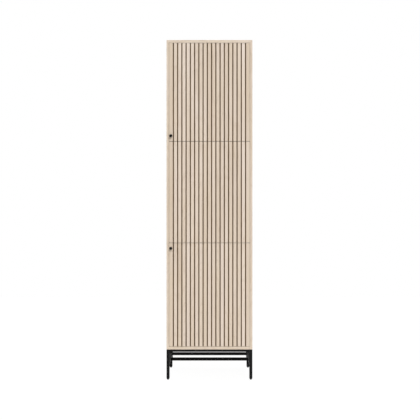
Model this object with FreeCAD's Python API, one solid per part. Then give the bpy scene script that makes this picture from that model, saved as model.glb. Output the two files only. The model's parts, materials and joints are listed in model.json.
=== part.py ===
import FreeCAD, Part
import os
from math import asin, cos, hypot, sin
from FreeCAD import Vector

# Tall slim cabinet with three slatted doors, one above the other, on a black steel leg frame.
# Millimetres, +Z up, front towards -Y. The origin is on the floor, under the middle of the whole object.

# Overall size
WIDTH = 455.0
DEPTH = 400.0
HEIGHT = 1800.0
LEG_HEIGHT = 160.0

# Panels of the carcass
SIDE_T = 12.0
TOP_T = 15.0
BOTTOM_T = 15.0
DIVIDER_T = 15.0
SHELF_T = 15.0
SHELF_SETBACK = 25.0  # from a divider's front edge to a shelf's
SHELF_PLAY = 1.0  # at each end of a shelf and behind it
BACK_T = 4.0
BACK_INSET = 10.0  # from the rear edges of the carcass to the back panel
BACK_GROOVE = 5.0  # how deep the back panel's edge stands in the panels round it
BACK_PLAY = 0.2  # round that edge
PANEL_EDGE_EASE = 0.8

# Doors
UPPER_SEAM_Z = 1263.0  # middle of the gap between the upper and the middle door
LOWER_SEAM_Z = 725.0
DOOR_GAP_Z = 2.4  # between two doors
END_GAP_Z = 1.4  # above the upper door and below the lower one
SLAT_PITCH = 22.5
GROOVE_W = 6.0
SLAT_T = 8.0
BACKING_T = 10.0
STILE_MIN_W = 18.0
SLAT_EASE = 0.8  # chamfer on the front edges of slats and stiles

# Pivots
PIVOT_INSET = 10.0  # from a door's right edge to the pivot axis
PIVOT_SETBACK = 4.5  # from a door's front face to the pivot axis
PIVOT_D = 4.0
PIVOT_ENGAGE = 8.0  # length of pin inside a door
PIVOT_ROOT = 10.0  # length of pin inside the top or bottom panel
COLLAR_D = 6.4
BUSH_D = 6.4
BUSH_L = 10.0
BRACKET_T = 1.2
BRACKET_FLANGE_W = 38.0
BRACKET_FLANGE_H = 12.0
BRACKET_TONGUE_W = 7.2
BRACKET_SCREW_STEP = 10.0  # from the flange's free end to the first screw, and from there to the next
BRACKET_SCREW_L = 18.0
BRACKET_SIDE_GAP = 0.5  # from the flange to the side panel

# Catches
CATCH_W = 14.0
CATCH_H = 40.0
CATCH_D = 26.0
CATCH_EASE = 2.0
CATCH_FROM_KNOB = 60.0
CATCH_GAP = 0.3  # between a strike and what holds it
MAGNET_W = 7.0
MAGNET_H = 18.0
MAGNET_D = 12.0
LATCH_D = 56.0
LATCH_FROM_DOOR_EDGE = 87.0
PLUNGER_D = 8.0
PLUNGER_L = 40.0
STRIKE_D = 10.0
STRIKE_T = 1.0
STRIKE_SPIKE_D = 2.5
STRIKE_SPIKE_L = 8.0
CATCH_SCREW_FROM_END = 6.0
CATCH_SCREW_L = 21.0

# Knobs
KNOB_D = 16.0
KNOB_PROJECTION = 22.0
KNOB_HEAD_L = 10.0
KNOB_ROUND = 2.0
KNOB_STEM_D = 8.0
KNOB_FROM_DOOR_EDGE = 27.0
KNOB_SCREW_D = 4.0
KNOB_SCREW_HEAD_D = 8.0
KNOB_SCREW_HEAD_L = 2.5
KNOB_SCREW_GRIP = 9.0  # length of the screw inside the knob

# Shelf pins and dowels
SHELF_PIN_D = 5.0
SHELF_PIN_DEPTH = 8.0
SHELF_PIN_REACH = 9.0
SHELF_PIN_FROM_EDGE = 40.0  # from a shelf's front and rear edge
SHELF_HOLE_STEP = 32.0
DOWEL_D = 6.0
DOWEL_L = 30.0
DOWEL_IN_SIDE = 8.0  # dowel length in a side panel's face
DOWEL_IN_CAP = 10.0  # dowel length in the top or bottom panel
DOWEL_FROM_EDGE = 60.0  # from the front and from the rear of the carcass

# Leg frame
TUBE = 16.0  # square section of legs and stretchers
TUBE_WALL = 1.5
TUBE_ROUND = 1.8
TOP_RAIL_H = 12.0
STRETCHER_Z = 70.5  # lower edge of the stretchers
GLIDE_H = 10.0
GLIDE_BASE_D = 8.0
GLIDE_PLUG_L = 14.0
FRAME_SCREW_INSET = 90.0  # from the outer corners
FRAME_SCREW_L = 22.0

# Wood screws of the pivots, catches and leg frame
SCREW_D = 3.5
SCREW_HEAD_D = 6.6
SCREW_HEAD_L = 2.0

# Clearances
FIXED_PLAY = 0.02  # radial, round a pin, screw, dowel or plug that stays where it is
TURN_PLAY = 0.05  # radial, round a pin or plunger that moves
THRUST_PLAY = 0.1  # under a door, on its pivot collar
SWING_PLAY = 0.6  # between a turning door's corners and the carcass

# Planes that the pieces share
FRONT_Y = (KNOB_PROJECTION - DEPTH) / 2
BACK_Y = FRONT_Y + DEPTH
SIDE_X = WIDTH / 2
INNER_X = SIDE_X - SIDE_T
FLOOR_Z = LEG_HEIGHT + BOTTOM_T
CEILING_Z = HEIGHT - TOP_T
DOOR_T = SLAT_T + BACKING_T
DOOR_BACK_Y = FRONT_Y + DOOR_T
PIVOT_Y = FRONT_Y + PIVOT_SETBACK
FRONT_CORNER_SWING = max(hypot(PIVOT_INSET - SLAT_EASE, PIVOT_SETBACK),
                         hypot(PIVOT_INSET, PIVOT_SETBACK - SLAT_EASE))
REAR_CORNER_SWING = hypot(PIVOT_INSET, DOOR_T - PIVOT_SETBACK)
PIVOT_X = INNER_X - FRONT_CORNER_SWING - SWING_PLAY
DOOR_X = PIVOT_X + PIVOT_INSET
DIVIDER_FRONT_Y = PIVOT_Y + REAR_CORNER_SWING + SWING_PLAY
REAR_WALL_Y = BACK_Y - BACK_INSET - BACK_T
SLAT_COUNT = int((2 * DOOR_X - 2 * STILE_MIN_W) // SLAT_PITCH)
STILE_X = (SLAT_COUNT * SLAT_PITCH + GROOVE_W) / 2  # inner edge of a stile
LATCH_STILE_X = -(STILE_X + DOOR_X) / 2  # middle of the stile at the knob side

DOOR_Z = {
    "upper": (UPPER_SEAM_Z + DOOR_GAP_Z / 2, CEILING_Z - END_GAP_Z),
    "middle": (LOWER_SEAM_Z + DOOR_GAP_Z / 2, UPPER_SEAM_Z - DOOR_GAP_Z / 2),
    "lower": (FLOOR_Z + END_GAP_Z, LOWER_SEAM_Z - DOOR_GAP_Z / 2),
}
SEAM_Z = {"upper": UPPER_SEAM_Z, "lower": LOWER_SEAM_Z}
ROOM_Z = {
    "upper": (UPPER_SEAM_Z + DIVIDER_T / 2, CEILING_Z),
    "middle": (LOWER_SEAM_Z + DIVIDER_T / 2, UPPER_SEAM_Z - DIVIDER_T / 2),
    "lower": (FLOOR_Z, LOWER_SEAM_Z - DIVIDER_T / 2),
}
KNOB_Z = {
    "upper": DOOR_Z["upper"][0] + KNOB_FROM_DOOR_EDGE,
    "lower": DOOR_Z["lower"][1] - KNOB_FROM_DOOR_EDGE,
}
CATCH_Z = {
    "upper": KNOB_Z["upper"] + CATCH_FROM_KNOB,
    "middle": DOOR_Z["middle"][1] - LATCH_FROM_DOOR_EDGE,
    "lower": KNOB_Z["lower"] - CATCH_FROM_KNOB,
}
CATCH_X = -INNER_X + CATCH_W / 2
CATCH_FRONT_Y = DOOR_BACK_Y + STRIKE_T + CATCH_GAP

RIGHT = Vector(1, 0, 0)
LEFT = Vector(-1, 0, 0)
REARWARD = Vector(0, 1, 0)
FORWARD = Vector(0, -1, 0)
UP = Vector(0, 0, 1)
DOWN = Vector(0, 0, -1)

pieces = {}


def block(x, y, z):
    """A box between the low and high values of x, y and z."""
    return Part.makeBox(x[1] - x[0], y[1] - y[0], z[1] - z[0], Vector(x[0], y[0], z[0]))


def rod(diameter, length, base, direction, play=0.0):
    """A round bar, or with play the hole that it goes into."""
    return Part.makeCylinder(diameter / 2 + play, length, base, direction)


def turned(steps, base, direction):
    """A lathe-turned solid: steps are (radius, height) pairs from the base along the direction."""
    outline = [Vector(0, 0, steps[0][1])]
    outline += [Vector(radius, 0, height) for radius, height in steps]
    outline.append(Vector(0, 0, steps[-1][1]))
    face = Part.Face(Part.makePolygon(outline + outline[:1]))
    solid = face.revolve(Vector(), UP, 360)
    solid.Placement = FreeCAD.Placement(base, FreeCAD.Rotation(UP, direction))
    return solid


def wood_screw(length, base, direction, play=0.0):
    """A countersunk screw with its head's flat face at the base, or with play the hole that it sits in."""
    head, shank = SCREW_HEAD_D / 2 + play, SCREW_D / 2 + play
    neck = SCREW_HEAD_L + play
    return turned([(head, 0), (shank, neck), (shank, length + play)], base, direction)


def eased_edges(panel, ease, chosen):
    """Chamfer the straight edges whose middle passes the test."""
    edges = [edge for edge in panel.Edges if chosen(edge.CenterOfMass, edge.BoundBox)]
    return panel.makeChamfer(ease, edges)


def square_tube(length, base, direction):
    """A hollow square bar with rounded corners, centred on its axis and standing on the base."""
    def bar(size, corner):
        solid = Part.makeBox(size, size, length, Vector(-size / 2, -size / 2, 0))
        return solid.makeFillet(corner, [edge for edge in solid.Edges if edge.BoundBox.ZLength > length / 2])
    tube = bar(TUBE, TUBE_ROUND).cut(bar(TUBE - 2 * TUBE_WALL, TUBE_ROUND / 2))
    tube.Placement = FreeCAD.Placement(base, FreeCAD.Rotation(UP, direction))
    return tube


def add(name, *solids):
    """Keep a piece, or a group of like pieces, under its name."""
    pieces[name] = Part.makeCompound(solids) if len(solids) > 1 else solids[0]


# Dowels: places shared by the dowels and by the holes in both panels that they join

def dowel_places():
    """Base and direction of each dowel."""
    rows = (FRONT_Y + DOWEL_FROM_EDGE, BACK_Y - DOWEL_FROM_EDGE)
    for y in rows:
        for side in (-1, 1):
            edge_x = side * (SIDE_X - SIDE_T / 2)
            yield Vector(edge_x, y, CEILING_Z + DOWEL_IN_CAP), DOWN
            yield Vector(edge_x, y, FLOOR_Z - DOWEL_IN_CAP), UP
            for seam_z in SEAM_Z.values():
                yield Vector(side * (INNER_X + DOWEL_IN_SIDE), y, seam_z), Vector(-side, 0, 0)


dowels = [rod(DOWEL_D, DOWEL_L, base, way) for base, way in dowel_places()]
dowel_holes = Part.makeCompound([rod(DOWEL_D, DOWEL_L, base, way, FIXED_PLAY) for base, way in dowel_places()])
add("carcass_dowels", *dowels)


# Shelves and the pins that carry them

shelf_x = (SHELF_PLAY - INNER_X, INNER_X - SHELF_PLAY)
shelf_y = (DIVIDER_FRONT_Y + SHELF_SETBACK, REAR_WALL_Y - SHELF_PLAY)
pin_rows = (shelf_y[0] + SHELF_PIN_FROM_EDGE, shelf_y[1] - SHELF_PIN_FROM_EDGE)
shelf_pins = []
shelf_pin_holes = []
for room, (low, high) in ROOM_Z.items():
    shelf_z = (low + high - SHELF_T) / 2
    add(room + "_shelf", block(shelf_x, shelf_y, (shelf_z, shelf_z + SHELF_T)))
    for side in (-1, 1):
        for y in pin_rows:
            pin_z = shelf_z - SHELF_PIN_D / 2
            inward = Vector(-side, 0, 0)
            seat = Vector(side * (INNER_X + SHELF_PIN_DEPTH), y, pin_z)
            shelf_pins.append(rod(SHELF_PIN_D, SHELF_PIN_DEPTH + SHELF_PIN_REACH, seat, inward))
            for step in (-1, 0, 1):
                hole_at = seat + UP * (step * SHELF_HOLE_STEP)
                shelf_pin_holes.append(rod(SHELF_PIN_D, SHELF_PIN_DEPTH, hole_at, inward, FIXED_PLAY))
add("shelf_pins", *shelf_pins)


# Catches: housings on the left side panel, each with two screws, and the latch with its plunger

def catch_screw_places(centre_z, depth):
    """Head positions of a housing's two screws, on the face away from the side panel."""
    y = CATCH_FRONT_Y + depth - CATCH_SCREW_FROM_END
    for way in (-1, 1):
        z = centre_z + way * (CATCH_H / 2 - CATCH_SCREW_FROM_END)
        yield Vector(-INNER_X + CATCH_W, y, z)


def catch_housing(centre_z, depth):
    """A rounded block with its two screw holes."""
    body = block((-INNER_X, -INNER_X + CATCH_W), (CATCH_FRONT_Y, CATCH_FRONT_Y + depth),
                 (centre_z - CATCH_H / 2, centre_z + CATCH_H / 2))
    body = eased_edges(body, CATCH_EASE, lambda mid, box: box.YLength > depth / 2 and mid.x > CATCH_X)
    for head in catch_screw_places(centre_z, depth):
        body = body.cut(wood_screw(CATCH_SCREW_L, head, LEFT, FIXED_PLAY))
    return body


catch_screws = []
catch_screw_holes = []
catch_depths = {"upper": CATCH_D, "middle": LATCH_D, "lower": CATCH_D}
for door, depth in catch_depths.items():
    for head in catch_screw_places(CATCH_Z[door], depth):
        catch_screws.append(wood_screw(CATCH_SCREW_L, head, LEFT))
        catch_screw_holes.append(wood_screw(CATCH_SCREW_L, head, LEFT, FIXED_PLAY))
add("catch_screws", *catch_screws)

magnets = []
magnet_housings = []
for door in ("upper", "lower"):
    z = CATCH_Z[door]
    magnet = block((CATCH_X - MAGNET_W / 2, CATCH_X + MAGNET_W / 2), (CATCH_FRONT_Y, CATCH_FRONT_Y + MAGNET_D),
                   (z - MAGNET_H / 2, z + MAGNET_H / 2))
    magnets.append(magnet)
    magnet_housings.append(catch_housing(z, CATCH_D).cut(magnet))
add("catch_magnets", *magnets)
add("magnet_catch_housings", *magnet_housings)

plunger_front = Vector(CATCH_X, CATCH_FRONT_Y, CATCH_Z["middle"])
plunger_bore = rod(PLUNGER_D, PLUNGER_L, plunger_front, REARWARD, TURN_PLAY)
add("push_latch_housing", catch_housing(CATCH_Z["middle"], LATCH_D).cut(plunger_bore))
add("push_latch_plunger", rod(PLUNGER_D, PLUNGER_L, plunger_front, REARWARD))


# Pivots: a pin in the top panel, one in the bottom panel, and a bracket with a pin in each seam

def pivot_at(z):
    return Vector(PIVOT_X, PIVOT_Y, z)


pin_r, collar_r = PIVOT_D / 2, COLLAR_D / 2
pin_run = PIVOT_ROOT + END_GAP_Z + PIVOT_ENGAGE
collar_top = PIVOT_ROOT + END_GAP_Z - THRUST_PLAY
top_pin_base = pivot_at(CEILING_Z + PIVOT_ROOT)
bottom_pin_base = pivot_at(FLOOR_Z - PIVOT_ROOT)
add("top_pivot_pin", rod(PIVOT_D, pin_run, top_pin_base, DOWN))
add("bottom_pivot_pin", turned([(pin_r, 0), (pin_r, PIVOT_ROOT), (collar_r, PIVOT_ROOT), (collar_r, collar_top),
                                (pin_r, collar_top), (pin_r, pin_run)], bottom_pin_base, UP))
top_pin_hole = rod(PIVOT_D, PIVOT_ROOT, top_pin_base, DOWN, FIXED_PLAY)
bottom_pin_hole = rod(PIVOT_D, PIVOT_ROOT, bottom_pin_base, UP, FIXED_PLAY)

flange_x = (INNER_X - BRACKET_SIDE_GAP - BRACKET_FLANGE_W, INNER_X - BRACKET_SIDE_GAP)
flange_y = (DIVIDER_FRONT_Y, DIVIDER_FRONT_Y + BRACKET_T)


def bracket_flange(seam_z):
    return block(flange_x, flange_y, (seam_z - BRACKET_FLANGE_H / 2, seam_z + BRACKET_FLANGE_H / 2))


def bracket_screw_places(seam_z):
    for step in (1, 2):
        yield Vector(flange_x[0] + step * BRACKET_SCREW_STEP - SCREW_HEAD_D / 2, DIVIDER_FRONT_Y, seam_z)


def seam_bracket(seam_z):
    """A flange let into the divider's front edge, with a tongue that reaches forward into the seam."""
    tongue_low = seam_z - BRACKET_T / 2
    tongue = block((PIVOT_X - BRACKET_TONGUE_W / 2, PIVOT_X + BRACKET_TONGUE_W / 2), (PIVOT_Y, flange_y[1]),
                   (tongue_low, tongue_low + BRACKET_T))
    nose = rod(BRACKET_TONGUE_W, BRACKET_T, pivot_at(tongue_low), UP)
    bracket = bracket_flange(seam_z).fuse([tongue, nose]).removeSplitter()
    bracket = bracket.cut(rod(PIVOT_D, BRACKET_T, pivot_at(tongue_low), UP, FIXED_PLAY))
    for head in bracket_screw_places(seam_z):
        bracket = bracket.cut(wood_screw(BRACKET_SCREW_L, head, REARWARD, FIXED_PLAY))
    return bracket


bracket_screws = []
seam_pins = []
for name, seam_z in SEAM_Z.items():
    add(name + "_seam_bracket", seam_bracket(seam_z))
    bracket_screws += [wood_screw(BRACKET_SCREW_L, head, REARWARD) for head in bracket_screw_places(seam_z)]
    half = DOOR_GAP_Z / 2 + PIVOT_ENGAGE
    seat = BRACKET_T / 2
    rest = DOOR_GAP_Z / 2 - THRUST_PLAY
    seam_pins.append(turned([(pin_r, -half), (pin_r, seat), (collar_r, seat), (collar_r, rest),
                             (pin_r, rest), (pin_r, half)], pivot_at(seam_z), UP))
add("seam_pivot_pins", *seam_pins)
add("bracket_screws", *bracket_screws)


# Carcass panels

back_panel = block((BACK_PLAY - INNER_X - BACK_GROOVE, INNER_X + BACK_GROOVE - BACK_PLAY),
                   (REAR_WALL_Y, REAR_WALL_Y + BACK_T),
                   (FLOOR_Z - BACK_GROOVE + BACK_PLAY, CEILING_Z + BACK_GROOVE - BACK_PLAY))
back_groove = block((-INNER_X - BACK_GROOVE, INNER_X + BACK_GROOVE), (REAR_WALL_Y, REAR_WALL_Y + BACK_T),
                    (FLOOR_Z - BACK_GROOVE, CEILING_Z + BACK_GROOVE))
add("back_panel", back_panel)

side_holes = Part.makeCompound(shelf_pin_holes + catch_screw_holes)
for name, side in (("left", -1), ("right", 1)):
    x = sorted((side * INNER_X, side * SIDE_X))
    panel = block(x, (FRONT_Y, BACK_Y), (FLOOR_Z, CEILING_Z))
    add(name + "_side_panel", panel.cut(back_groove).cut(dowel_holes).cut(side_holes))

leg_axis_x = SIDE_X - TUBE / 2
leg_axis_y = {"front": FRONT_Y + TUBE / 2, "rear": BACK_Y - TUBE / 2}
rail_z = (LEG_HEIGHT - TOP_RAIL_H, LEG_HEIGHT)


def frame_screw_places():
    """Head positions under the top rails: two screws in each rail."""
    for way in (-1, 1):
        x = way * (SIDE_X - FRAME_SCREW_INSET)
        y = (FRONT_Y + BACK_Y) / 2 + way * (DEPTH / 2 - FRAME_SCREW_INSET)
        for rail_y in leg_axis_y.values():
            yield Vector(x, rail_y, rail_z[0])
        for side in (-1, 1):
            yield Vector(side * leg_axis_x, y, rail_z[0])


frame_screw_holes = Part.makeCompound(
    [wood_screw(FRAME_SCREW_L, head, UP, FIXED_PLAY) for head in frame_screw_places()])
add("frame_screws", *[wood_screw(FRAME_SCREW_L, head, UP) for head in frame_screw_places()])

cap_x, cap_y = (-SIDE_X, SIDE_X), (FRONT_Y, BACK_Y)
top_panel = block(cap_x, cap_y, (CEILING_Z, HEIGHT))
top_panel = eased_edges(top_panel, PANEL_EDGE_EASE, lambda mid, box: mid.z > HEIGHT - TOP_T / 4)
bottom_panel = block(cap_x, cap_y, (LEG_HEIGHT, FLOOR_Z))
bottom_panel = eased_edges(bottom_panel, PANEL_EDGE_EASE, lambda mid, box: mid.z < LEG_HEIGHT + BOTTOM_T / 4)
add("top_panel", top_panel.cut(back_groove).cut(dowel_holes).cut(top_pin_hole))
add("bottom_panel",
    bottom_panel.cut(back_groove).cut(dowel_holes).cut(bottom_pin_hole).cut(frame_screw_holes))

for name, seam_z in SEAM_Z.items():
    divider = block((-INNER_X, INNER_X), (DIVIDER_FRONT_Y, REAR_WALL_Y),
                    (seam_z - DIVIDER_T / 2, seam_z + DIVIDER_T / 2))
    divider = divider.cut(bracket_flange(seam_z)).cut(dowel_holes)
    for head in bracket_screw_places(seam_z):
        divider = divider.cut(wood_screw(BRACKET_SCREW_L, head, REARWARD, FIXED_PLAY))
    add(name + "_divider", divider)


# Doors: a backing panel between two stiles, with the slats on its front

def strip(x, back_y, z):
    """A slat or stile with its two front edges eased."""
    x0, x1 = x
    corners = [(x0, back_y), (x0, FRONT_Y + SLAT_EASE), (x0 + SLAT_EASE, FRONT_Y),
               (x1 - SLAT_EASE, FRONT_Y), (x1, FRONT_Y + SLAT_EASE), (x1, back_y)]
    outline = [Vector(px, py, z[0]) for px, py in corners]
    return Part.Face(Part.makePolygon(outline + outline[:1])).extrude(UP * (z[1] - z[0]))


def slats(z):
    width = SLAT_PITCH - GROOVE_W
    first = -(SLAT_COUNT - 1) * SLAT_PITCH / 2
    for index in range(SLAT_COUNT):
        middle = first + index * SLAT_PITCH
        yield strip((middle - width / 2, middle + width / 2), FRONT_Y + SLAT_T, z)


def strike_disc(centre_z, play=0.0):
    """A steel disc on the door's back with a spike driven into the stile."""
    base = Vector(CATCH_X, DOOR_BACK_Y + STRIKE_T, centre_z)
    disc_r, spike_r = STRIKE_D / 2, STRIKE_SPIKE_D / 2 + play
    return turned([(disc_r, 0), (disc_r, STRIKE_T), (spike_r, STRIKE_T), (spike_r, STRIKE_T + STRIKE_SPIKE_L)],
                  base, FORWARD)


def knob_screw(z, play=0.0):
    """A machine screw from the back of the stile into the knob, or with play the hole that it sits in."""
    head, shank = KNOB_SCREW_HEAD_D / 2 + play, KNOB_SCREW_D / 2 + play
    base = Vector(LATCH_STILE_X, DOOR_BACK_Y, z)
    return turned([(head, 0), (head, KNOB_SCREW_HEAD_L), (shank, KNOB_SCREW_HEAD_L),
                   (shank, DOOR_T + KNOB_SCREW_GRIP)], base, FORWARD)


def knob(z):
    """A round knob: a thin stem on the door and a rounded head."""
    head, stem = KNOB_D / 2, KNOB_STEM_D / 2
    neck = KNOB_PROJECTION - KNOB_HEAD_L
    body = turned([(stem, 0), (stem, neck), (head, neck), (head, KNOB_PROJECTION)],
                  Vector(LATCH_STILE_X, FRONT_Y, z), FORWARD)
    rims = [edge for edge in body.Edges if isinstance(edge.Curve, Part.Circle) and edge.Curve.Radius > stem]
    return body.makeFillet(KNOB_ROUND, rims).cut(knob_screw(z, FIXED_PLAY))


for door, z in DOOR_Z.items():
    add(door + "_door_panel", block((-STILE_X, STILE_X), (FRONT_Y + SLAT_T, DOOR_BACK_Y), z))
    add(door + "_door_slats", *slats(z))

    latch_stile = strip((-DOOR_X, -STILE_X), DOOR_BACK_Y, z).cut(strike_disc(CATCH_Z[door], FIXED_PLAY))
    if door in KNOB_Z:
        latch_stile = latch_stile.cut(knob_screw(KNOB_Z[door], FIXED_PLAY))
        add(door + "_knob", knob(KNOB_Z[door]))
        add(door + "_knob_screw", knob_screw(KNOB_Z[door]))
    add(door + "_door_latch_stile", latch_stile)
    add(door + "_door_strike", strike_disc(CATCH_Z[door]))

    hinge_stile = strip((STILE_X, DOOR_X), DOOR_BACK_Y, z)
    bushes = []
    for end_z, inward in ((z[0], UP), (z[1], DOWN)):
        bore = rod(PIVOT_D, BUSH_L, pivot_at(end_z), inward, TURN_PLAY)
        bushes.append(rod(BUSH_D, BUSH_L, pivot_at(end_z), inward).cut(bore))
        hinge_stile = hinge_stile.cut(rod(BUSH_D, BUSH_L, pivot_at(end_z), inward, FIXED_PLAY))
    add(door + "_door_hinge_stile", hinge_stile)
    add(door + "_door_bushes", *bushes)


# Leg frame

inner_leg_x = SIDE_X - TUBE
inner_leg_y = (FRONT_Y + TUBE, BACK_Y - TUBE)
stretcher_z = STRETCHER_Z + TUBE / 2
for side_name, side in (("left", -1), ("right", 1)):
    leg_x = side * leg_axis_x
    for row_name, leg_y in leg_axis_y.items():
        foot = Vector(leg_x, leg_y, GLIDE_H)
        add(row_name + "_" + side_name + "_leg", square_tube(LEG_HEIGHT - GLIDE_H, foot, UP))
    rail_x = sorted((side * inner_leg_x, side * SIDE_X))
    side_rail = block(rail_x, inner_leg_y, rail_z).cut(frame_screw_holes)
    add(side_name + "_top_rail", side_rail)
    add(side_name + "_side_stretcher",
        square_tube(inner_leg_y[1] - inner_leg_y[0], Vector(leg_x, inner_leg_y[0], stretcher_z), REARWARD))

for row_name, leg_y in leg_axis_y.items():
    cross_rail = block((-inner_leg_x, inner_leg_x), (leg_y - TUBE / 2, leg_y + TUBE / 2), rail_z)
    add(row_name + "_top_rail", cross_rail.cut(frame_screw_holes))

for name, bar_y in (("rear", leg_axis_y["rear"]), ("middle", (FRONT_Y + BACK_Y) / 2)):
    add(name + "_stretcher", square_tube(2 * inner_leg_x, Vector(-inner_leg_x, bar_y, stretcher_z), RIGHT))


def glide(leg_x, leg_y):
    """A domed plastic foot with a plug that fills the tube's end."""
    plug_half = TUBE / 2 - TUBE_WALL - FIXED_PLAY
    plug = block((leg_x - plug_half, leg_x + plug_half), (leg_y - plug_half, leg_y + plug_half),
                 (GLIDE_H, GLIDE_H + GLIDE_PLUG_L))
    upright = [edge for edge in plug.Edges if edge.BoundBox.ZLength > GLIDE_PLUG_L / 2]
    plug = plug.makeFillet(TUBE_ROUND / 2, upright)
    base_r, top_r = GLIDE_BASE_D / 2, TUBE / 2
    bulge_r = ((top_r - base_r) ** 2 + GLIDE_H ** 2) / (2 * (top_r - base_r))  # upright where it meets the tube
    half_sweep = asin(GLIDE_H / bulge_r) / 2
    base_rim, top_rim = Vector(base_r, 0, 0), Vector(top_r, 0, GLIDE_H)
    bulge = top_rim - Vector(bulge_r * (1 - cos(half_sweep)), 0, bulge_r * sin(half_sweep))
    crown = Vector(0, 0, GLIDE_H)
    outline = Part.Wire([
        Part.LineSegment(Vector(), base_rim).toShape(),
        Part.Arc(base_rim, bulge, top_rim).toShape(),
        Part.LineSegment(top_rim, crown).toShape(),
        Part.LineSegment(crown, Vector()).toShape(),
    ])
    dome = Part.Face(outline).revolve(Vector(), UP, 360)
    dome.translate(Vector(leg_x, leg_y, 0))
    return dome.fuse(plug)


add("foot_glides", *[glide(side * leg_axis_x, leg_y) for side in (-1, 1) for leg_y in leg_axis_y.values()])

os.makedirs("parts", exist_ok=True)
for name, shape in pieces.items():
    shape.exportStep("parts/" + name + ".step")
print(len(pieces), "nodes,", sum(len(shape.Solids) for shape in pieces.values()), "solids")
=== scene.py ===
# %% [markdown]
# A tall slim cabinet with three slatted doors
#
# The solids of this cabinet come from a CAD model: panels, slats, doors on hidden pivots, catches and a
# steel leg frame. Here they get their looks. Modelling the cabinet again in Blender would only invite
# errors of size, so the solids stay as they are and take finishes, and only the small things that
# solids leave plain, such as the cross recess of a screw, are built anew. Everything is in metres, with
# the front towards -Y.

# %% Load the solids
import json
import math

import bmesh
import bpy
from mathutils import Matrix, Vector


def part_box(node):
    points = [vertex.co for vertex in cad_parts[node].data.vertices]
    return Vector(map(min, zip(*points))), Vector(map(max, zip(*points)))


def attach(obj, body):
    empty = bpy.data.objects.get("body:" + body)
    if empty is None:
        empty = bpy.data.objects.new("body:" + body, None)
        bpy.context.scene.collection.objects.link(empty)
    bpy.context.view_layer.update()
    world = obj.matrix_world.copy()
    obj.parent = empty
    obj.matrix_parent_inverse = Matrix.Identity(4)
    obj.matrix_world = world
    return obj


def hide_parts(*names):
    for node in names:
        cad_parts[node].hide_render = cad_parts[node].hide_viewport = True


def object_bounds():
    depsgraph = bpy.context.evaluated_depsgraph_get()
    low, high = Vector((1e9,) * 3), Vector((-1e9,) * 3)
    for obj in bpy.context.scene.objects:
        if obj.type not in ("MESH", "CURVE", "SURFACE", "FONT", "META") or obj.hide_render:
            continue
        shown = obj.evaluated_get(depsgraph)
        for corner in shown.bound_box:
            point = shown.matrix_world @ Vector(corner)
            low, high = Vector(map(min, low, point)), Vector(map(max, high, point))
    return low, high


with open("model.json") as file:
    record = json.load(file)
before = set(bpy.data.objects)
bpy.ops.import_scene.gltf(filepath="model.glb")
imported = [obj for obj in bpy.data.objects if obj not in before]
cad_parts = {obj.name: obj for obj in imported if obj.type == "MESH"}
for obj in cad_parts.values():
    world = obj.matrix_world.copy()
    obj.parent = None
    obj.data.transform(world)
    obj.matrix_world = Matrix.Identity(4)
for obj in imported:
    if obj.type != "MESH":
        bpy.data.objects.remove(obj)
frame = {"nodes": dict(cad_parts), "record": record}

CAD_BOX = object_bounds()
nodes = frame["nodes"]
scene = bpy.context.scene


def rounded(numbers):
    """Numbers to three places, for printing."""
    return tuple(round(number, 3) for number in numbers)


print(len(nodes), "solids loaded, box", [rounded(corner) for corner in CAD_BOX])

# %% [markdown]
# The camera
#
# The photograph looks at the cabinet squarely from the front, at half its height and from far away. The
# eye could be placed by trial, but the picture says where it is: one pixel on the plane of the doors is
# PIXEL wide, the feet stand on one pixel row, the cabinet's middle is on one pixel column, and how much
# smaller the rear legs look than the front ones gives the distance.

# %% Camera
PHOTO_SIZE = 420  # pixels, each way
PIXEL = 0.005297
FEET_ROW = 379.75
MIDDLE_COLUMN = 209.45
EYE_DISTANCE = 5.0  # from the plane of the doors

front_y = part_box("left_side_panel")[0].y
eye = Vector((
    (PHOTO_SIZE / 2 - MIDDLE_COLUMN) * PIXEL,
    front_y - EYE_DISTANCE,
    (FEET_ROW - PHOTO_SIZE / 2) * PIXEL,
))
camera_data = bpy.data.cameras.new("photo_camera")
camera_data.lens = camera_data.sensor_width * EYE_DISTANCE / (PHOTO_SIZE * PIXEL)
camera = bpy.data.objects.new("photo_camera", camera_data)
camera.location = eye
camera.rotation_euler = (math.radians(90), 0, 0)
scene.collection.objects.link(camera)
scene.camera = camera
print("eye at", rounded(eye), "lens", round(camera_data.lens, 1), "mm")

# %% [markdown]
# Formulas for finishes
#
# A finish is a net of shader nodes. Nets can be joined by hand, but a formula is easier to read, so one
# small class wraps a socket: an operator on it adds the Math node that it means, and the method `node`
# adds any other node from its type, its settings and its sockets.

# %% A socket that works in formulas
def both_ways(operation):
    """An operator that adds a Math node, and its reflected form, which has the Wire on the right."""
    return (lambda self, other: self.maths(operation, self, other),
            lambda self, other: self.maths(operation, other, self))


class Wire:
    """A shader socket in a formula: `1 - mask` adds the Math node that it stands for."""

    __add__, __radd__ = both_ways("ADD")
    __sub__, __rsub__ = both_ways("SUBTRACT")
    __mul__, __rmul__ = both_ways("MULTIPLY")
    __truediv__, __rtruediv__ = both_ways("DIVIDE")
    __pow__, __rpow__ = both_ways("POWER")
    __gt__, __lt__ = both_ways("GREATER_THAN")

    def __init__(self, tree, socket=None):
        self.tree = tree
        self.socket = socket

    def node(self, kind, settings, sockets, out=0):
        """Adds a node, makes its settings, then gives its sockets their values or links."""
        made = self.tree.nodes.new("ShaderNode" + kind)
        for name, value in settings.items():
            setattr(made, name, value)
        for name, value in sockets.items():
            if isinstance(value, Wire):
                self.tree.links.new(value.socket, made.inputs[name])
            else:
                made.inputs[name].default_value = value
        return Wire(self.tree, made.outputs[out] if made.outputs else None)

    def out(self, name):
        """Another output of the node that this socket belongs to."""
        return Wire(self.tree, self.socket.node.outputs[name])

    def maths(self, operation, *values):
        """Adds a Math node that works on the values, which are Wires or numbers."""
        return self.node("Math", {"operation": operation}, dict(enumerate(values)))


print("a Wire adds a Math node for + - * / ** > and <")


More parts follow.
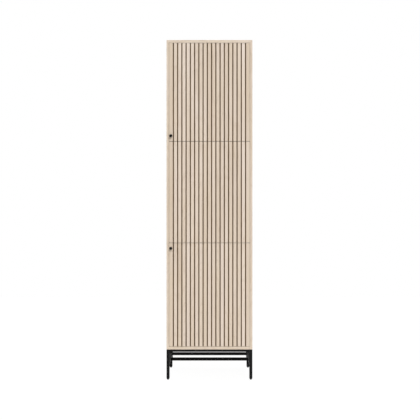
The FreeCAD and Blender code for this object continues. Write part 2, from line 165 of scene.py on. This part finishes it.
# %% Start and end of a finish
def new_finish(name):
    """An empty material, and a Wire with the coordinates of the solid, which stay on it when it moves."""
    material = bpy.data.materials.new(name)
    material.use_nodes = True
    material.node_tree.nodes.clear()
    return material, Wire(material.node_tree).node("TexCoord", {}, {}, "Object")


def dress(material, place, sockets, height, relief):
    """Puts a surface shader at the end of the net. A height of 1 is a bump as high as the relief."""
    sockets["Normal"] = place.node("Bump", {}, {"Height": height, "Distance": relief})
    shader = place.node("BsdfPrincipled", {}, sockets)
    shader.node("OutputMaterial", {}, {"Surface": shader})
    print(material.name, "is a net of", len(material.node_tree.nodes), "nodes")
    return material


print("every finish starts from coordinates and ends in a shader with a bump")


# %% Colours, noise and steps
def colour(red, green, blue):
    """A colour as it is read from a picture, 0 to 255, in the linear values that a shader takes."""
    def linear(value):
        value = value / 255
        return value / 12.92 if value <= 0.04045 else ((value + 0.055) / 1.055) ** 2.4
    return (linear(red), linear(green), linear(blue), 1.0)


def mix(factor, first, second, way="MIX"):
    """Blends two colours. At least one of the three is a Wire."""
    wire = next(value for value in (factor, first, second) if isinstance(value, Wire))
    settings = {"data_type": "RGBA", "blend_type": way}
    return wire.node("Mix", settings, {0: factor, 6: first, 7: second}, 2)


def tinted(first, second):
    """One colour seen through another."""
    return mix(1.0, first, second, "MULTIPLY")


def noise(place, bumps, along="Z"):
    """Noise from 0 to 1. Its bumps are those per metre across an axis and along it, and their layers."""
    across_axis, along_axis, layers = bumps
    scale = tuple(along_axis if axis == along else across_axis for axis in "XYZ")
    spread = place.node("Mapping", {}, {"Vector": place, "Scale": scale})
    return place.node("TexNoise", {}, {"Vector": spread, "Scale": 1.0, "Detail": layers})


def step(value, span):
    """A soft step: 0 below the span's low end, 1 above its high end."""
    low, high = span
    settings = {"interpolation_type": "SMOOTHSTEP"}
    return value.node("MapRange", settings, {"Value": value, "From Min": low, "From Max": high})


print("128 of 255 is", round(colour(128, 128, 128)[0], 3), "in linear light")

# %% [markdown]
# Floor, backdrop and light
#
# The photograph has a white ground with hardly a shadow. More light on everything would bleach the oak,
# so the ground itself is white: to the camera and to mirrors the world and most of the floor simply
# glow at about strength 1, while the light that falls on the cabinet stays at a plain level. A part of
# the floor is still an ordinary pale surface and so keeps a faint shadow. The knobs' shadows fall down
# and a little to the left, so a broad sun lamp stands in front, over the camera and a little to the
# right. Two weaker lamps behind the cabinet keep its sides and back from going dull, and leave the
# front as it is.

# %% Floor
FLOOR_SIZE = 9.0
FLOOR_SQUARES = 6  # each way
FLOOR_GLOW = 0.9  # share of the floor that glows
GLOW_LEVEL = 1.05  # a little over white, to make up for the share that only reflects
FLOOR_PALE = 0.8  # what the floor gives back to the cabinet


def is_seen(wire):
    """1 for what the camera sees, also by mirror or glass, and 0 for what only lights the cabinet."""
    path = wire.node("LightPath", {}, {}, "Is Camera Ray")
    seen = path.maths("MAXIMUM", path, path.out("Is Glossy Ray"))
    return seen.maths("MAXIMUM", seen, path.out("Is Transmission Ray"))


def white_floor():
    material, place = new_finish("white_floor")
    pale = place.node("BsdfDiffuse", {}, {"Color": (FLOOR_PALE, FLOOR_PALE, FLOOR_PALE, 1.0)})
    glow = place.node("Emission", {}, {"Strength": GLOW_LEVEL})
    both = place.node("MixShader", {}, {0: is_seen(place) * FLOOR_GLOW, 1: pale, 2: glow})
    both.node("OutputMaterial", {}, {"Surface": both})
    return material


def floor_sheet():
    mesh = bpy.data.meshes.new("floor")
    shape = bmesh.new()
    bmesh.ops.create_grid(shape, x_segments=FLOOR_SQUARES, y_segments=FLOOR_SQUARES, size=FLOOR_SIZE / 2)
    shape.to_mesh(mesh)
    shape.free()
    mesh.materials.append(white_floor())
    return bpy.data.objects.new("floor", mesh)


floor = floor_sheet()
scene.collection.objects.link(floor)
print("floor of", FLOOR_SIZE, "m, of which", FLOOR_GLOW, "glows")

# %% Backdrop
SKY_LEVEL = 0.53  # what the world gives to the cabinet

world = bpy.data.worlds.new("white_studio")
world.use_nodes = True
world.node_tree.nodes.clear()
start = Wire(world.node_tree)
level = is_seen(start) * (1.0 - SKY_LEVEL) + SKY_LEVEL
sky = start.node("Background", {}, {"Color": (1.0, 1.0, 1.0, 1.0), "Strength": level})
sky.node("OutputWorld", {}, {"Surface": sky})
scene.world = world
scene.view_settings.view_transform = "Standard"
print("the sky is white to the eye, and lights the cabinet at", SKY_LEVEL)


# %% Lamps
def sun(name, height, right, strength, softness):
    """A broad distant lamp, some degrees over the horizon and some degrees to the right of the camera."""
    data = bpy.data.lights.new(name, "SUN")
    data.energy = strength
    data.angle = math.radians(softness)
    lamp = bpy.data.objects.new(name, data)
    lamp.rotation_euler = (math.radians(90 - height), 0, math.radians(right))
    lamp.location = (0, 0, 2 * CAD_BOX[1].z)
    scene.collection.objects.link(lamp)
    print(name, "at", height, "degrees up and", right, "to the right")


sun("key_light", height=28, right=12, strength=1.6, softness=20)
sun("left_fill", height=30, right=-115, strength=0.8, softness=45)
sun("right_fill", height=30, right=140, strength=0.8, softness=45)

# %% [markdown]
# Whitewashed oak
#
# The cabinet's oak is limed: pale, with a hue that drifts between rose and honey from slat to slat and
# along each slat, with fine fibres, short dark pores and the arches of the growth rings under the wash.
# A picture of oak would repeat and needs a file. Instead the rings are worked out as they grow: each
# board is a cut near the heart of a trunk that tapers, so the distance to the heart, counted in ring
# widths, draws straight lines at a board's edges and arches at its middle. Noise squeezed along the
# grain gives fibres, pores and drifts.

# %% Boards and their ends
OWN_SEED = 0.5  # these are added to the number of a board or a door before its random draw
OTHER_SEED = 0.25
DOOR_SEED = 0.75
END_FACING = 0.8  # a face that looks this much along the grain is an end


def boards(place, along, across, width, seams):
    """Splits a face into boards. Gives the place across a board and along it, and its two random numbers.

    The first random number runs on over the seams, and the second one changes there.
    """
    xyz = place.node("SeparateXYZ", {}, {"Vector": place})
    u, v = xyz.out(across), xyz.out(along)
    number = u.maths("FLOOR", u / width + 0.5)
    door = sum(((v > seam) for seam in seams), 0.0)
    own = number.node("TexWhiteNoise", {"noise_dimensions": "1D"}, {"W": number + OWN_SEED})
    spot = number.node("CombineXYZ", {}, {"X": number + OTHER_SEED, "Y": door + DOOR_SEED})
    other = number.node("TexWhiteNoise", {"noise_dimensions": "2D"}, {"Vector": spot})
    return u - number * width, v, own, other


def facing(place, axis):
    """How much a face looks along an axis, from -1 to 1."""
    normal = place.node("TexCoord", {}, {}, "Normal")
    return normal.node("SeparateXYZ", {}, {"Vector": normal}, axis)


def on_end(place, along):
    """1 where a face cuts the fibres across."""
    looks = facing(place, along)
    return looks.maths("ABSOLUTE", looks) > END_FACING


print("ends are faces within", round(math.degrees(math.acos(END_FACING))), "degrees of square to the grain")

# %% Growth rings
RING_W = 0.0028  # width of a growth ring
HEART_NEAR = 0.0105  # least distance from a board's face to the heart of the trunk
HEART_SPREAD = 0.049  # how much further away it is on some boards
TAPER = 0.022  # how far the heart draws away in a metre of board
HEART_SWAY = 0.03  # how far the heart wanders
RING_SWAY = 1.5  # how far the rings wander, in ring widths
WANDER = (9.0, 2.2, 2.0)  # bumps per metre across the grain and along it, and layers of them
EARLY_SPAN = (0.45, 1.0)  # where the open early wood lies between the edge of a ring and its middle


def early_wood(place, along, width, board):
    """1 in the early wood of each ring, 0 in the late wood."""
    u, v, own, other = board
    wobble = noise(place, WANDER, along) - 0.5
    heart = other * HEART_SPREAD + HEART_NEAR + v * TAPER + wobble * HEART_SWAY
    aside = u + (own - 0.5) * width
    distance = (aside * aside + heart * heart) ** 0.5
    ring = distance.maths("PINGPONG", distance / RING_W + wobble * RING_SWAY, 0.5) * 2
    return step(ring, EARLY_SPAN)


print("rings of", RING_W * 1000, "mm")

# %% Colours of the oak
OAK_PALE = colour(230, 216, 202)
OAK_DEEP = colour(198, 178, 157)
OAK_PORE = colour(150, 126, 103)
TINT_PALE = (1.045, 1.055, 1.065, 1.0)
TINT_WARM = (0.925, 0.905, 0.87, 1.0)
TINT_ROSE = (1.007, 1.012, 1.04, 1.0)
TINT_HONEY = (0.983, 0.978, 0.94, 1.0)
END_GRAIN = (0.7, 0.66, 0.62, 1.0)  # ends of the fibres take up the finish and go darker
OWN_SHARE = 0.4  # share of a tint that a slat keeps over the seams of the doors
CLOUDS = (30.0, 2.0, 2.0)  # slow changes of light and dark
DRIFTS = (45.0, 4.0, 1.0)  # slow changes of hue
FIBRES = (750.0, 14.0, 3.0)
PORES = (1300.0, 60.0, 1.0)
NOISE_SPAN = (0.3, 0.7)  # nearly all of a noise lies here
PORE_SPAN = (0.6, 0.72)  # only the tops of the noise are pores
LATE_PORES = 0.25  # share of the pores that the late wood has
PORE_SHOW = 0.4  # how much of a pore shows through the wash
RING_SHADE = 0.14  # how much the rings, the fibres and the clouds darken the wood
FIBRE_SHADE = 0.35
CLOUD_SHADE = 0.75
SHADE_LIFT = 0.23  # and how much of that is taken off everywhere
print("oak from", rounded(OAK_PALE[:3]), "to", rounded(OAK_DEEP[:3]))

# %% Oak finish
FIBRE_HEIGHT = 0.5  # this and the next two are shares of OAK_RELIEF
PORE_DEPTH = 0.6
EARLY_DEPTH = 0.15
OAK_RELIEF = 0.00025
OAK_ROUGH = 0.46
FIBRE_ROUGH = 0.14  # what a fibre adds to it
OAK_SHINE = 0.3


def oak_wood(place, along, across, width, seams=(), tone=0.0):
    """Colour, relief and roughness of limed oak, as Wires. The tone makes the boards warmer and darker."""
    board = boards(place, along, across, width, seams)
    own, other = board[2:]
    early = early_wood(place, along, width, board)
    fibre = noise(place, FIBRES, along)
    cloud = noise(place, CLOUDS, along)
    drift = step(noise(place, DRIFTS, along), NOISE_SPAN)
    pore = step(noise(place, PORES, along), PORE_SPAN) * (early * (1 - LATE_PORES) + LATE_PORES)
    shade = early * RING_SHADE + fibre * FIBRE_SHADE + cloud * CLOUD_SHADE - SHADE_LIFT
    wood = mix(pore * PORE_SHOW, mix(shade, OAK_PALE, OAK_DEEP), OAK_PORE)
    warmth = mix(own * OWN_SHARE + other * (1 - OWN_SHARE) + tone, TINT_PALE, TINT_WARM)
    hue = mix(own * OWN_SHARE + drift * (1 - OWN_SHARE), TINT_ROSE, TINT_HONEY)
    wood = tinted(wood, tinted(warmth, hue))
    wood = mix(on_end(place, along), wood, tinted(wood, END_GRAIN))
    relief = fibre * FIBRE_HEIGHT - pore * PORE_DEPTH - early * EARLY_DEPTH
    return wood, relief, fibre * FIBRE_ROUGH + OAK_ROUGH


def oak(name, along, across, width, seams=(), tone=0.0, band=None):
    """Oak as a finish. A band is veneer on a panel's ends, given by the axes along and across its grain."""
    material, place = new_finish(name)
    wood, relief, rough = oak_wood(place, along, across, width, seams, tone)
    if band:
        band_wood, band_relief, _ = oak_wood(place, *band, width)
        ends = on_end(place, along)
        wood = mix(ends, wood, band_wood)
        relief = relief + ends * (band_relief - relief)
    sockets = {"Base Color": wood, "Roughness": rough, "Specular IOR Level": OAK_SHINE}
    return dress(material, place, sockets, relief, OAK_RELIEF)


print("relief of the oak", OAK_RELIEF * 1000, "mm")

# %% [markdown]
# Oak of the slats, stiles and panels
#
# The slats and stiles of the doors are solid oak, each a board of its own. The panels are veneered with
# wide leaves, and a veneered panel has no end grain: a thin band of oak covers its ends, with the grain
# along the edge. One finish for all would show every slat cut from one board, so each kind gets its own
# width of board and its own run of the grain. The lying panels also get the band.

# %% Oak of each kind of piece
SLAT_PITCH = 0.0225
STILE_TONE = 0.35  # the stiles are warmer than the slats
VENEER_W = 0.13  # width of one leaf of veneer on a panel


def seam_height(lower, upper):
    """The middle of the seam between two doors."""
    return (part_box(f"{lower}_door_slats")[1].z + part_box(f"{upper}_door_slats")[0].z) / 2


door_seams = [seam_height("lower", "middle"), seam_height("middle", "upper")]
between_stiles = 2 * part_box("upper_door_hinge_stile")[0].x
oak_slats = oak("oak_slats", "Z", "X", SLAT_PITCH, door_seams)
oak_stiles = oak("oak_stiles", "Z", "X", between_stiles, door_seams, STILE_TONE)
oak_upright = oak("oak_upright", "Z", "Y", VENEER_W)
oak_level = oak("oak_level", "X", "Y", VENEER_W, band=("Y", "Z"))
print("seams between the doors at", rounded(door_seams))

# %% [markdown]
# Behind the slats, with painted shade
#
# The grooves between the slats show the door's backing, a board of darker oak. It is hardly seen, so it
# gets a plain brown grain, made darker still as painted shade of the deep narrow grooves. Its rear face is
# the inside of the door, and that is limed like the rest. Each face could have a material of its own, but
# the solids' meshes stay as they are, so one finish does both and tells the sides apart by the way a face
# looks.

# %% Groove floor, with painted shade, and inside of the doors
# The groove floor's colours: a darker board, darkened further as painted shade of the deep grooves.
GROOVE_SHADE_PALE = colour(102, 77, 42)
GROOVE_SHADE_DEEP = colour(82, 60, 32)
GROOVE_STREAKS = (300.0, 7.0, 3.0)
BACKING_SHINE = 0.25
BACK_FACING = 0.5  # a face that looks this much to the rear is a back


def facing_back(place):
    """1 where a face looks to the rear of the cabinet, with its doors shut."""
    return facing(place, "Y") > BACK_FACING


def backing_with_painted_shade():
    material, place = new_finish("door_backing")
    wood, relief, rough = oak_wood(place, "Z", "X", VENEER_W)
    # The front face takes the groove colours, which are partly painted shade. The rear face stays limed
    # oak.
    painted_groove_shade = mix(step(noise(place, GROOVE_STREAKS), NOISE_SPAN), GROOVE_SHADE_PALE, GROOVE_SHADE_DEEP)
    sockets = {"Base Color": mix(facing_back(place), painted_groove_shade, wood), "Roughness": rough,
               "Specular IOR Level": BACKING_SHINE}
    return dress(material, place, sockets, relief, OAK_RELIEF)


door_backing = backing_with_painted_shade()

# %% [markdown]
# The back of the cabinet
#
# The back is a thin fibreboard. It has a pale oak face to the inside, and its rear is left as pressed
# fibre: a warm light brown, matt, with fine straws and specks. A flat brown would do for a face that
# stands at a wall, but the part may be turned round, so two noises squeezed one way each give the
# straws, and two even ones give the specks and the patches. As on the doors, one finish serves both
# sides.

# %% Fibreboard
PRESSED_LIGHT = colour(188, 162, 130)
PRESSED_DARK = colour(150, 122, 92)
STRAWS = (1000.0, 110.0, 2.0)  # these run both ways
SPECKS = (900.0, 900.0, 4.0)
PATCHES = (12.0, 12.0, 3.0)
STRAW_SHADE = 0.2  # how much the straws, the specks and the patches darken the board
SPECK_SHADE = 0.45
PATCH_SHADE = 0.15
PRESSED_SPAN = (0.25, 0.75)
PRESSED_ROUGH = 0.3  # how much rougher the pressed side is
PRESSED_SHINE = 0.25
SPECK_HEIGHT = 0.6  # this and the next value are shares of PRESSED_RELIEF
OAK_HEIGHT = 0.4
PRESSED_RELIEF = 0.0002


def fibreboard():
    material, place = new_finish("back_board")
    wood, relief, rough = oak_wood(place, "Z", "X", VENEER_W)
    speck = noise(place, SPECKS)
    straws = noise(place, STRAWS, "X") + noise(place, STRAWS, "Z")
    dark = speck * SPECK_SHADE + straws * STRAW_SHADE + noise(place, PATCHES) * PATCH_SHADE
    pressed = mix(step(dark, PRESSED_SPAN), PRESSED_LIGHT, PRESSED_DARK)
    rear = facing_back(place)
    sockets = {"Base Color": mix(rear, wood, pressed), "Roughness": rear * PRESSED_ROUGH + rough,
               "Specular IOR Level": PRESSED_SHINE}
    return dress(material, place, sockets, speck * SPECK_HEIGHT + relief * OAK_HEIGHT, PRESSED_RELIEF)


back_board = fibreboard()

# %% [markdown]
# Black powder coat, plastics and plating
#
# Legs, rails, brackets and knobs are steel under a black powder coat: nearly black, matt, with a fine
# skin like orange peel. A flat black would look like a hole, so the skin is a bump of fine noise, and
# the sheen varies a little from place to place. The plastics, the ferrite and the zinc plating are
# built alike, with other values.

# %% Powder coat and plastics
UNEVEN = (25.0, 25.0, 2.0)  # what changes slowly over a surface
GRAIN_LAYERS = 2.0
SHEEN_RANGE = 0.1  # how much the grain and the slow changes each alter the roughness


def grainy(name, light, dark, grain, rough, relief, metal=0.0, specular=0.5):
    """Paint, moulded plastic, plating or ferrite: a surface with a fine grain, given in bumps per metre."""
    material, place = new_finish(name)
    fine = noise(place, (grain, grain, GRAIN_LAYERS))
    broad = noise(place, UNEVEN)
    sockets = {"Base Color": mix(step(broad, NOISE_SPAN), light, dark),
               "Roughness": (fine + broad) * SHEEN_RANGE + (rough - SHEEN_RANGE),
               "Metallic": metal, "Specular IOR Level": specular}
    return dress(material, place, sockets, fine, relief)


black_steel = grainy("black_steel", colour(29, 29, 29), colour(24, 24, 24),
                     grain=1500.0, rough=0.55, relief=0.00003, specular=0.05)
black_plastic = grainy("black_plastic", colour(32, 32, 32), colour(26, 26, 26),
                       grain=2200.0, rough=0.6, relief=0.00004, specular=0.25)
catch_plastic = grainy("catch_plastic", colour(214, 206, 192), colour(204, 195, 180),
                       grain=2600.0, rough=0.42, relief=0.00003)
nylon = grainy("nylon", colour(226, 224, 214), colour(216, 213, 202),
               grain=2600.0, rough=0.38, relief=0.00003)
magnet = grainy("magnet", colour(78, 78, 80), colour(62, 62, 64),
                grain=3000.0, rough=0.55, relief=0.00005)
zinc = grainy("zinc_steel", colour(200, 202, 204), colour(182, 184, 188),
              grain=2400.0, rough=0.34, relief=0.00003, metal=1.0)

# %% [markdown]
# Beech dowels
#
# The dowels that join the panels are turned from beech, which is denser and redder than oak and has
# short flecks in place of long pores. They could have rings like the oak, but they lie hidden in their
# holes, so one layer of flecks, stretched along the dowel, is enough.

# %% Beech of the dowels
BEECH_LIGHT = colour(216, 180, 142)
BEECH_DARK = colour(196, 157, 118)
FLECKS = (900.0, 160.0, 3.0)
FLECK_SPAN = (0.35, 0.65)
FLECK_ROUGH = 0.1
BEECH_ROUGH = 0.5
BEECH_RELIEF = 0.0001


def dowel_beech():
    material, place = new_finish("beech")
    fleck = noise(place, FLECKS, "X")
    sockets = {"Base Color": mix(step(fleck, FLECK_SPAN), BEECH_LIGHT, BEECH_DARK),
               "Roughness": fleck * FLECK_ROUGH + BEECH_ROUGH}
    return dress(material, place, sockets, fleck, BEECH_RELIEF)


beech = dowel_beech()

# %% [markdown]
# Finishes on the solids
#
# The finishes could be given to one solid at a time, but the record of the CAD model names a finish for
# each, so a loop hands them out. Upright and lying panels are one finish there, but their grain runs
# differently, so the two side panels get a finish of their own. So do the stiles of the doors, which
# are cut from slightly warmer boards than the slats.

# %% Give the solids their finishes
finish_of_slot = {
    "oak_slats": oak_slats, "oak_panel": oak_level, "door_backing": door_backing, "back_board": back_board,
    "beech": beech, "black_steel": black_steel, "black_plastic": black_plastic,
    "catch_plastic": catch_plastic, "nylon": nylon, "magnet": magnet, "zinc_steel": zinc,
}
finish_of_node = {"left_side_panel": oak_upright, "right_side_panel": oak_upright}
for door in ("upper", "middle", "lower"):
    for side in ("hinge", "latch"):
        finish_of_node[f"{door}_door_{side}_stile"] = oak_stiles
for part in frame["record"]["subparts"]:
    finish = finish_of_node.get(part["node"], finish_of_slot[part["material_slot"]])
    nodes[part["node"]].data.materials.clear()
    nodes[part["node"]].data.materials.append(finish)

# %% [markdown]
# Screws with a cross recess
#
# The screws of the catches, brackets, knobs and leg frame are plain turned solids. What makes a screw
# read as one is the cross in its head. It could be cut out with a boolean, but a head is flat, so its
# face is filled between the rim and the outline of the cross, and the cross is then pulled inwards with
# a little taper. The place and the size of each screw are measured on the solid that it replaces.

# %% Find the separate solids of a node
SAME_POINT = 1e-6  # corners nearer than this are one


def islands(node):
    """The separate solids in a node, each as the lowest and highest corner of its box."""
    shape = bmesh.new()
    shape.from_mesh(nodes[node].data)
    bmesh.ops.remove_doubles(shape, verts=shape.verts, dist=SAME_POINT)
    left = set(shape.verts)
    boxes = []
    while left:
        reached = [left.pop()]
        for corner in reached:
            near = {edge.other_vert(corner) for edge in corner.link_edges} & left
            left -= near
            reached += near
        boxes.append(tuple(Vector(pick(corner.co[i] for corner in reached) for i in range(3))
                           for pick in (min, max)))
    shape.free()
    return sorted(boxes, key=lambda box: tuple(box[0]))


print("catch screws:", len(islands("catch_screws")), "shelf pins:", len(islands("shelf_pins")))

# %% Turn a profile on the lathe
ROUND_SEGMENTS = 32
ROUND_MID = 1 - math.cos(math.radians(45))  # middle of a quarter round, as a share of its radius


def lathe(shape, profile, place):
    """Adds the rings of a turned profile of (radius, height) pairs, and gives the first and last ring."""
    rings = []
    for radius, height in profile:
        angles = (2 * math.pi * i / ROUND_SEGMENTS for i in range(ROUND_SEGMENTS))
        rings.append([shape.verts.new(place @ Vector((radius * math.cos(a), radius * math.sin(a), height)))
                      for a in angles])
    for lower, upper in zip(rings, rings[1:]):
        for i in range(ROUND_SEGMENTS):
            j = (i + 1) % ROUND_SEGMENTS
            face = shape.faces.new((lower[i], lower[j], upper[j], upper[i]))
            face.smooth = True
    return rings[0], rings[-1]


def turned(shape, profile, place):
    """Adds a turned profile that is closed with a flat face at each end."""
    first, last = lathe(shape, profile, place)
    shape.faces.new(first[::-1])
    shape.faces.new(last)


def looking(direction, foot):
    """A place whose Z axis looks in a direction and whose origin is at the foot."""
    turn = Vector((0, 0, 1)).rotation_difference(Vector(direction))
    return Matrix.Translation(foot) @ turn.to_matrix().to_4x4()


print("a lathe of", ROUND_SEGMENTS, "segments")


# %% Make a piece
def new_piece(name, shape, finish, body, slot, *replaced):
    """Turns a bmesh into a piece that rides on a body and, where solids are named, stands for them."""
    bmesh.ops.recalc_face_normals(shape, faces=shape.faces)
    mesh = bpy.data.meshes.new(name)
    shape.to_mesh(mesh)
    shape.free()
    mesh.materials.append(finish)
    piece = bpy.data.objects.new(name, mesh)
    scene.collection.objects.link(piece)
    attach(piece, body)
    if replaced:
        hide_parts(*replaced)
    print(name, "has", len(mesh.polygons), "faces")


# %% Outline of the cross
CROSS_REACH = 0.6  # this and the next value are shares of the head's radius
CROSS_HALF_W = 0.15


def cross_outline(radius):
    """The corners of the cross, one arm after another."""
    reach, half = radius * CROSS_REACH, radius * CROSS_HALF_W
    arm = [(half, half), (reach, half), (reach, -half)]
    for turn in range(4):
        for x, y in arm:
            for _ in range(turn):
                x, y = y, -x
            yield x, y


def loop_edges(shape, corners):
    """The edges of a closed ring of corners, made where they are missing."""
    pairs = zip(corners, corners[1:] + corners[:1])
    return [shape.edges.get(pair) or shape.edges.new(pair) for pair in pairs]


print("a cross has", len(list(cross_outline(1.0))), "corners")

# %% Screws
CROSS_DEPTH = 0.4  # this and the next values are shares of the head's radius
SHANK = 0.53
SCREW_POINT = 0.2
POINT_LENGTH = 1.06
COUNTERSINK = 0.6
RIM_HEIGHT = 0.08
RIM_EASE = 0.04
CROSS_TAPER = 0.6  # width of the cross at its floor, as a share of its width at the head


def screw(shape, box, looks):
    """A countersunk screw in the box of the solid, with its head looking one way."""
    low, high = box
    axis = max(range(3), key=lambda i: abs(looks[i]))
    radius = max(high[i] - low[i] for i in range(3) if i != axis) / 2
    length = high[axis] - low[axis]
    foot = (low + high) / 2
    foot[axis] = high[axis] if looks[axis] > 0 else low[axis]
    place = looking(looks, foot)
    point, rim = lathe(shape, [
        (radius * SCREW_POINT, -length), (radius * SHANK, radius * POINT_LENGTH - length),
        (radius * SHANK, -radius * COUNTERSINK), (radius, -radius * RIM_HEIGHT),
        (radius * (1 - RIM_EASE), 0)], place)
    shape.faces.new(point[::-1])
    mouth = [shape.verts.new(place @ Vector((x, y, 0))) for x, y in cross_outline(radius)]
    floor_ring = [shape.verts.new(place @ Vector((x * CROSS_TAPER, y * CROSS_TAPER, -radius * CROSS_DEPTH)))
                  for x, y in cross_outline(radius)]
    bmesh.ops.triangle_fill(shape, use_beauty=True, edges=loop_edges(shape, rim) + loop_edges(shape, mouth))
    for i in range(len(mouth)):
        j = (i + 1) % len(mouth)
        shape.faces.new((mouth[i], mouth[j], floor_ring[j], floor_ring[i]))
    shape.faces.new(floor_ring)


for node, body, looks in (
        ("catch_screws", "carcass", (1, 0, 0)), ("bracket_screws", "carcass", (0, -1, 0)),
        ("frame_screws", "carcass", (0, 0, -1)), ("upper_knob_screw", "upper_door", (0, 1, 0)),
        ("lower_knob_screw", "lower_door", (0, 1, 0))):
    shape = bmesh.new()
    for box in islands(node):
        screw(shape, box, looks)
    new_piece("cross_" + node, shape, zinc, body, "zinc_steel", node)

# %% [markdown]
# Shelf pins
#
# A shelf lies on four steel pins. The solids are plain rods, while a bought pin has a thin collar that
# stops it at the side panel and a rounded end. A rod, a disc and a dome could be put together, but then
# faces would be hidden inside, so both come from one turned profile.

# %% Shelf pins with collars
PIN_COLLAR_R = 0.0036
PIN_COLLAR_T = 0.0008
PIN_ROUND = 0.0009

shape = bmesh.new()
inner_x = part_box("right_side_panel")[0].x
for low, high in islands("shelf_pins"):
    side = 1 if low.x > 0 else -1
    radius = (high.z - low.z) / 2
    middle = (low + high) / 2
    place = looking((-side, 0, 0), Vector((side * inner_x, middle.y, middle.z)))
    root = max(abs(low.x), abs(high.x)) - inner_x
    reach = inner_x - min(abs(low.x), abs(high.x))
    turned(shape, [
        (radius, -root), (radius, 0), (PIN_COLLAR_R, 0),
        (PIN_COLLAR_R, PIN_COLLAR_T), (radius, PIN_COLLAR_T), (radius, reach - PIN_ROUND),
        (radius - PIN_ROUND * ROUND_MID, reach - PIN_ROUND * ROUND_MID),
        (radius - PIN_ROUND, reach)], place)
new_piece("collared_shelf_pins", shape, zinc, "carcass", "zinc_steel", "shelf_pins")

# %% [markdown]
# Magnets and the latch's tip
#
# A magnetic catch is a slice of dull ferrite between two bright pole plates, which stand a hair proud
# of it and touch the strike. The push latch ends in a nylon plunger with a small round magnet let into
# a rounded nose. Colour alone could mark plates and tip on the plain solids, but the steps between them
# are what catches the light, so the plates are beveled slabs, and the plunger and its tip are turned.

# %% Magnets between pole plates
POLE_T = 0.0012
FERRITE_SETBACK = 0.0005
SLAB_ROUND = 0.0002


def slab(shape, low, high):
    """A block with slightly rounded edges between two corners."""
    size = [high[i] - low[i] for i in range(3)]
    made = bmesh.ops.create_cube(shape, size=1.0)["verts"]
    bmesh.ops.scale(shape, verts=made, vec=size)
    bmesh.ops.translate(shape, verts=made, vec=(Vector(low) + Vector(high)) / 2)
    edges = {edge for corner in made for edge in corner.link_edges}
    bmesh.ops.bevel(shape, geom=list(edges), offset=SLAB_ROUND, segments=2, profile=0.5, affect="EDGES")


cores, plates = bmesh.new(), bmesh.new()
for low, high in islands("catch_magnets"):
    slab(cores, (low.x + POLE_T, low.y + FERRITE_SETBACK, low.z), (high.x - POLE_T, high.y, high.z))
    slab(plates, low, (low.x + POLE_T, high.y, high.z))
    slab(plates, (high.x - POLE_T, low.y, low.z), high)
new_piece("ferrite_cores", cores, magnet, "carcass", "magnet", "catch_magnets")
new_piece("pole_plates", plates, zinc, "carcass", "zinc_steel")

# %% Plunger of the push latch
NOSE_ROUND = 0.0012
TIP_R = 0.0024  # of the seat in the nose
TIP_PLAY = 0.00005
TIP_T = 0.0003
TIP_SETBACK = 0.0003
TIP_EASE = 0.0001

low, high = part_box("push_latch_plunger")
radius, length = (high.x - low.x) / 2, high.y - low.y
place = looking((0, -1, 0), Vector(((low.x + high.x) / 2, low.y, (low.z + high.z) / 2)))
seat = -TIP_SETBACK - TIP_T
plunger = bmesh.new()
turned(plunger, [
    (radius, -length), (radius, -NOSE_ROUND), (radius - NOSE_ROUND * ROUND_MID, -NOSE_ROUND * ROUND_MID),
    (radius - NOSE_ROUND, 0), (TIP_R, 0), (TIP_R, seat)], place)
new_piece("latch_plunger", plunger, nylon, "push_latch", "nylon", "push_latch_plunger")

tip_r = TIP_R - TIP_PLAY
tip = bmesh.new()
turned(tip, [(tip_r, seat), (tip_r, -TIP_SETBACK - TIP_EASE), (tip_r - TIP_EASE, -TIP_SETBACK)], place)
new_piece("latch_tip", tip, zinc, "push_latch", "zinc_steel")

# %% [markdown]
# End plates of the cross bars
#
# The rear and the middle bar of the leg frame end in small flat plates, which two countersunk screws
# hold to the tube beside them. The photograph shows the edges of two of them as a thin dark strip along
# the rear legs. The solids of the bars simply end at the tubes. The bars could be built anew with their
# plates, but their own shape is right, so each plate is an eased slab laid on the flat of its tube, and
# the screws are made like the others, in the black of the frame.

# %% End plates and their screws
PLATE_T = 0.002
PLATE_L = 0.05
PLATE_W = 0.0124  # the flat of a tube between its rounded corners
PLATE_SCREW_R = 0.0035
PLATE_SCREW_L = 0.012
PLATE_SCREW_OFF = 0.017  # from the middle of the bar
HEAD_PROUD = 0.00005

end_plates, end_screws = bmesh.new(), bmesh.new()
rim = Vector((0, PLATE_SCREW_R, PLATE_SCREW_R))
for bar, along in (("rear_stretcher", Vector((0, 0, 1))), ("middle_stretcher", Vector((0, 1, 0)))):
    low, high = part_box(bar)
    across = Vector((0, 1, 1)) - along
    half = (along * PLATE_L + across * PLATE_W) / 2
    for tube_x, inward in ((low.x, 1), (high.x, -1)):
        middle = Vector((tube_x, (low.y + high.y) / 2, (low.z + high.z) / 2))
        face = middle + Vector((inward * PLATE_T, 0, 0))
        slab(end_plates, Vector(map(min, middle, face)) - half, Vector(map(max, middle, face)) + half)
        for way in (-1, 1):
            head = face + along * PLATE_SCREW_OFF * way + Vector((inward * HEAD_PROUD, 0, 0))
            end = head - Vector((inward * PLATE_SCREW_L, 0, 0))
            box = (Vector(map(min, head, end)) - rim, Vector(map(max, head, end)) + rim)
            screw(end_screws, box, (inward, 0, 0))
new_piece("bar_end_plates", end_plates, black_steel, "carcass", "black_steel")
new_piece("bar_end_screws", end_screws, black_steel, "carcass", "black_steel")
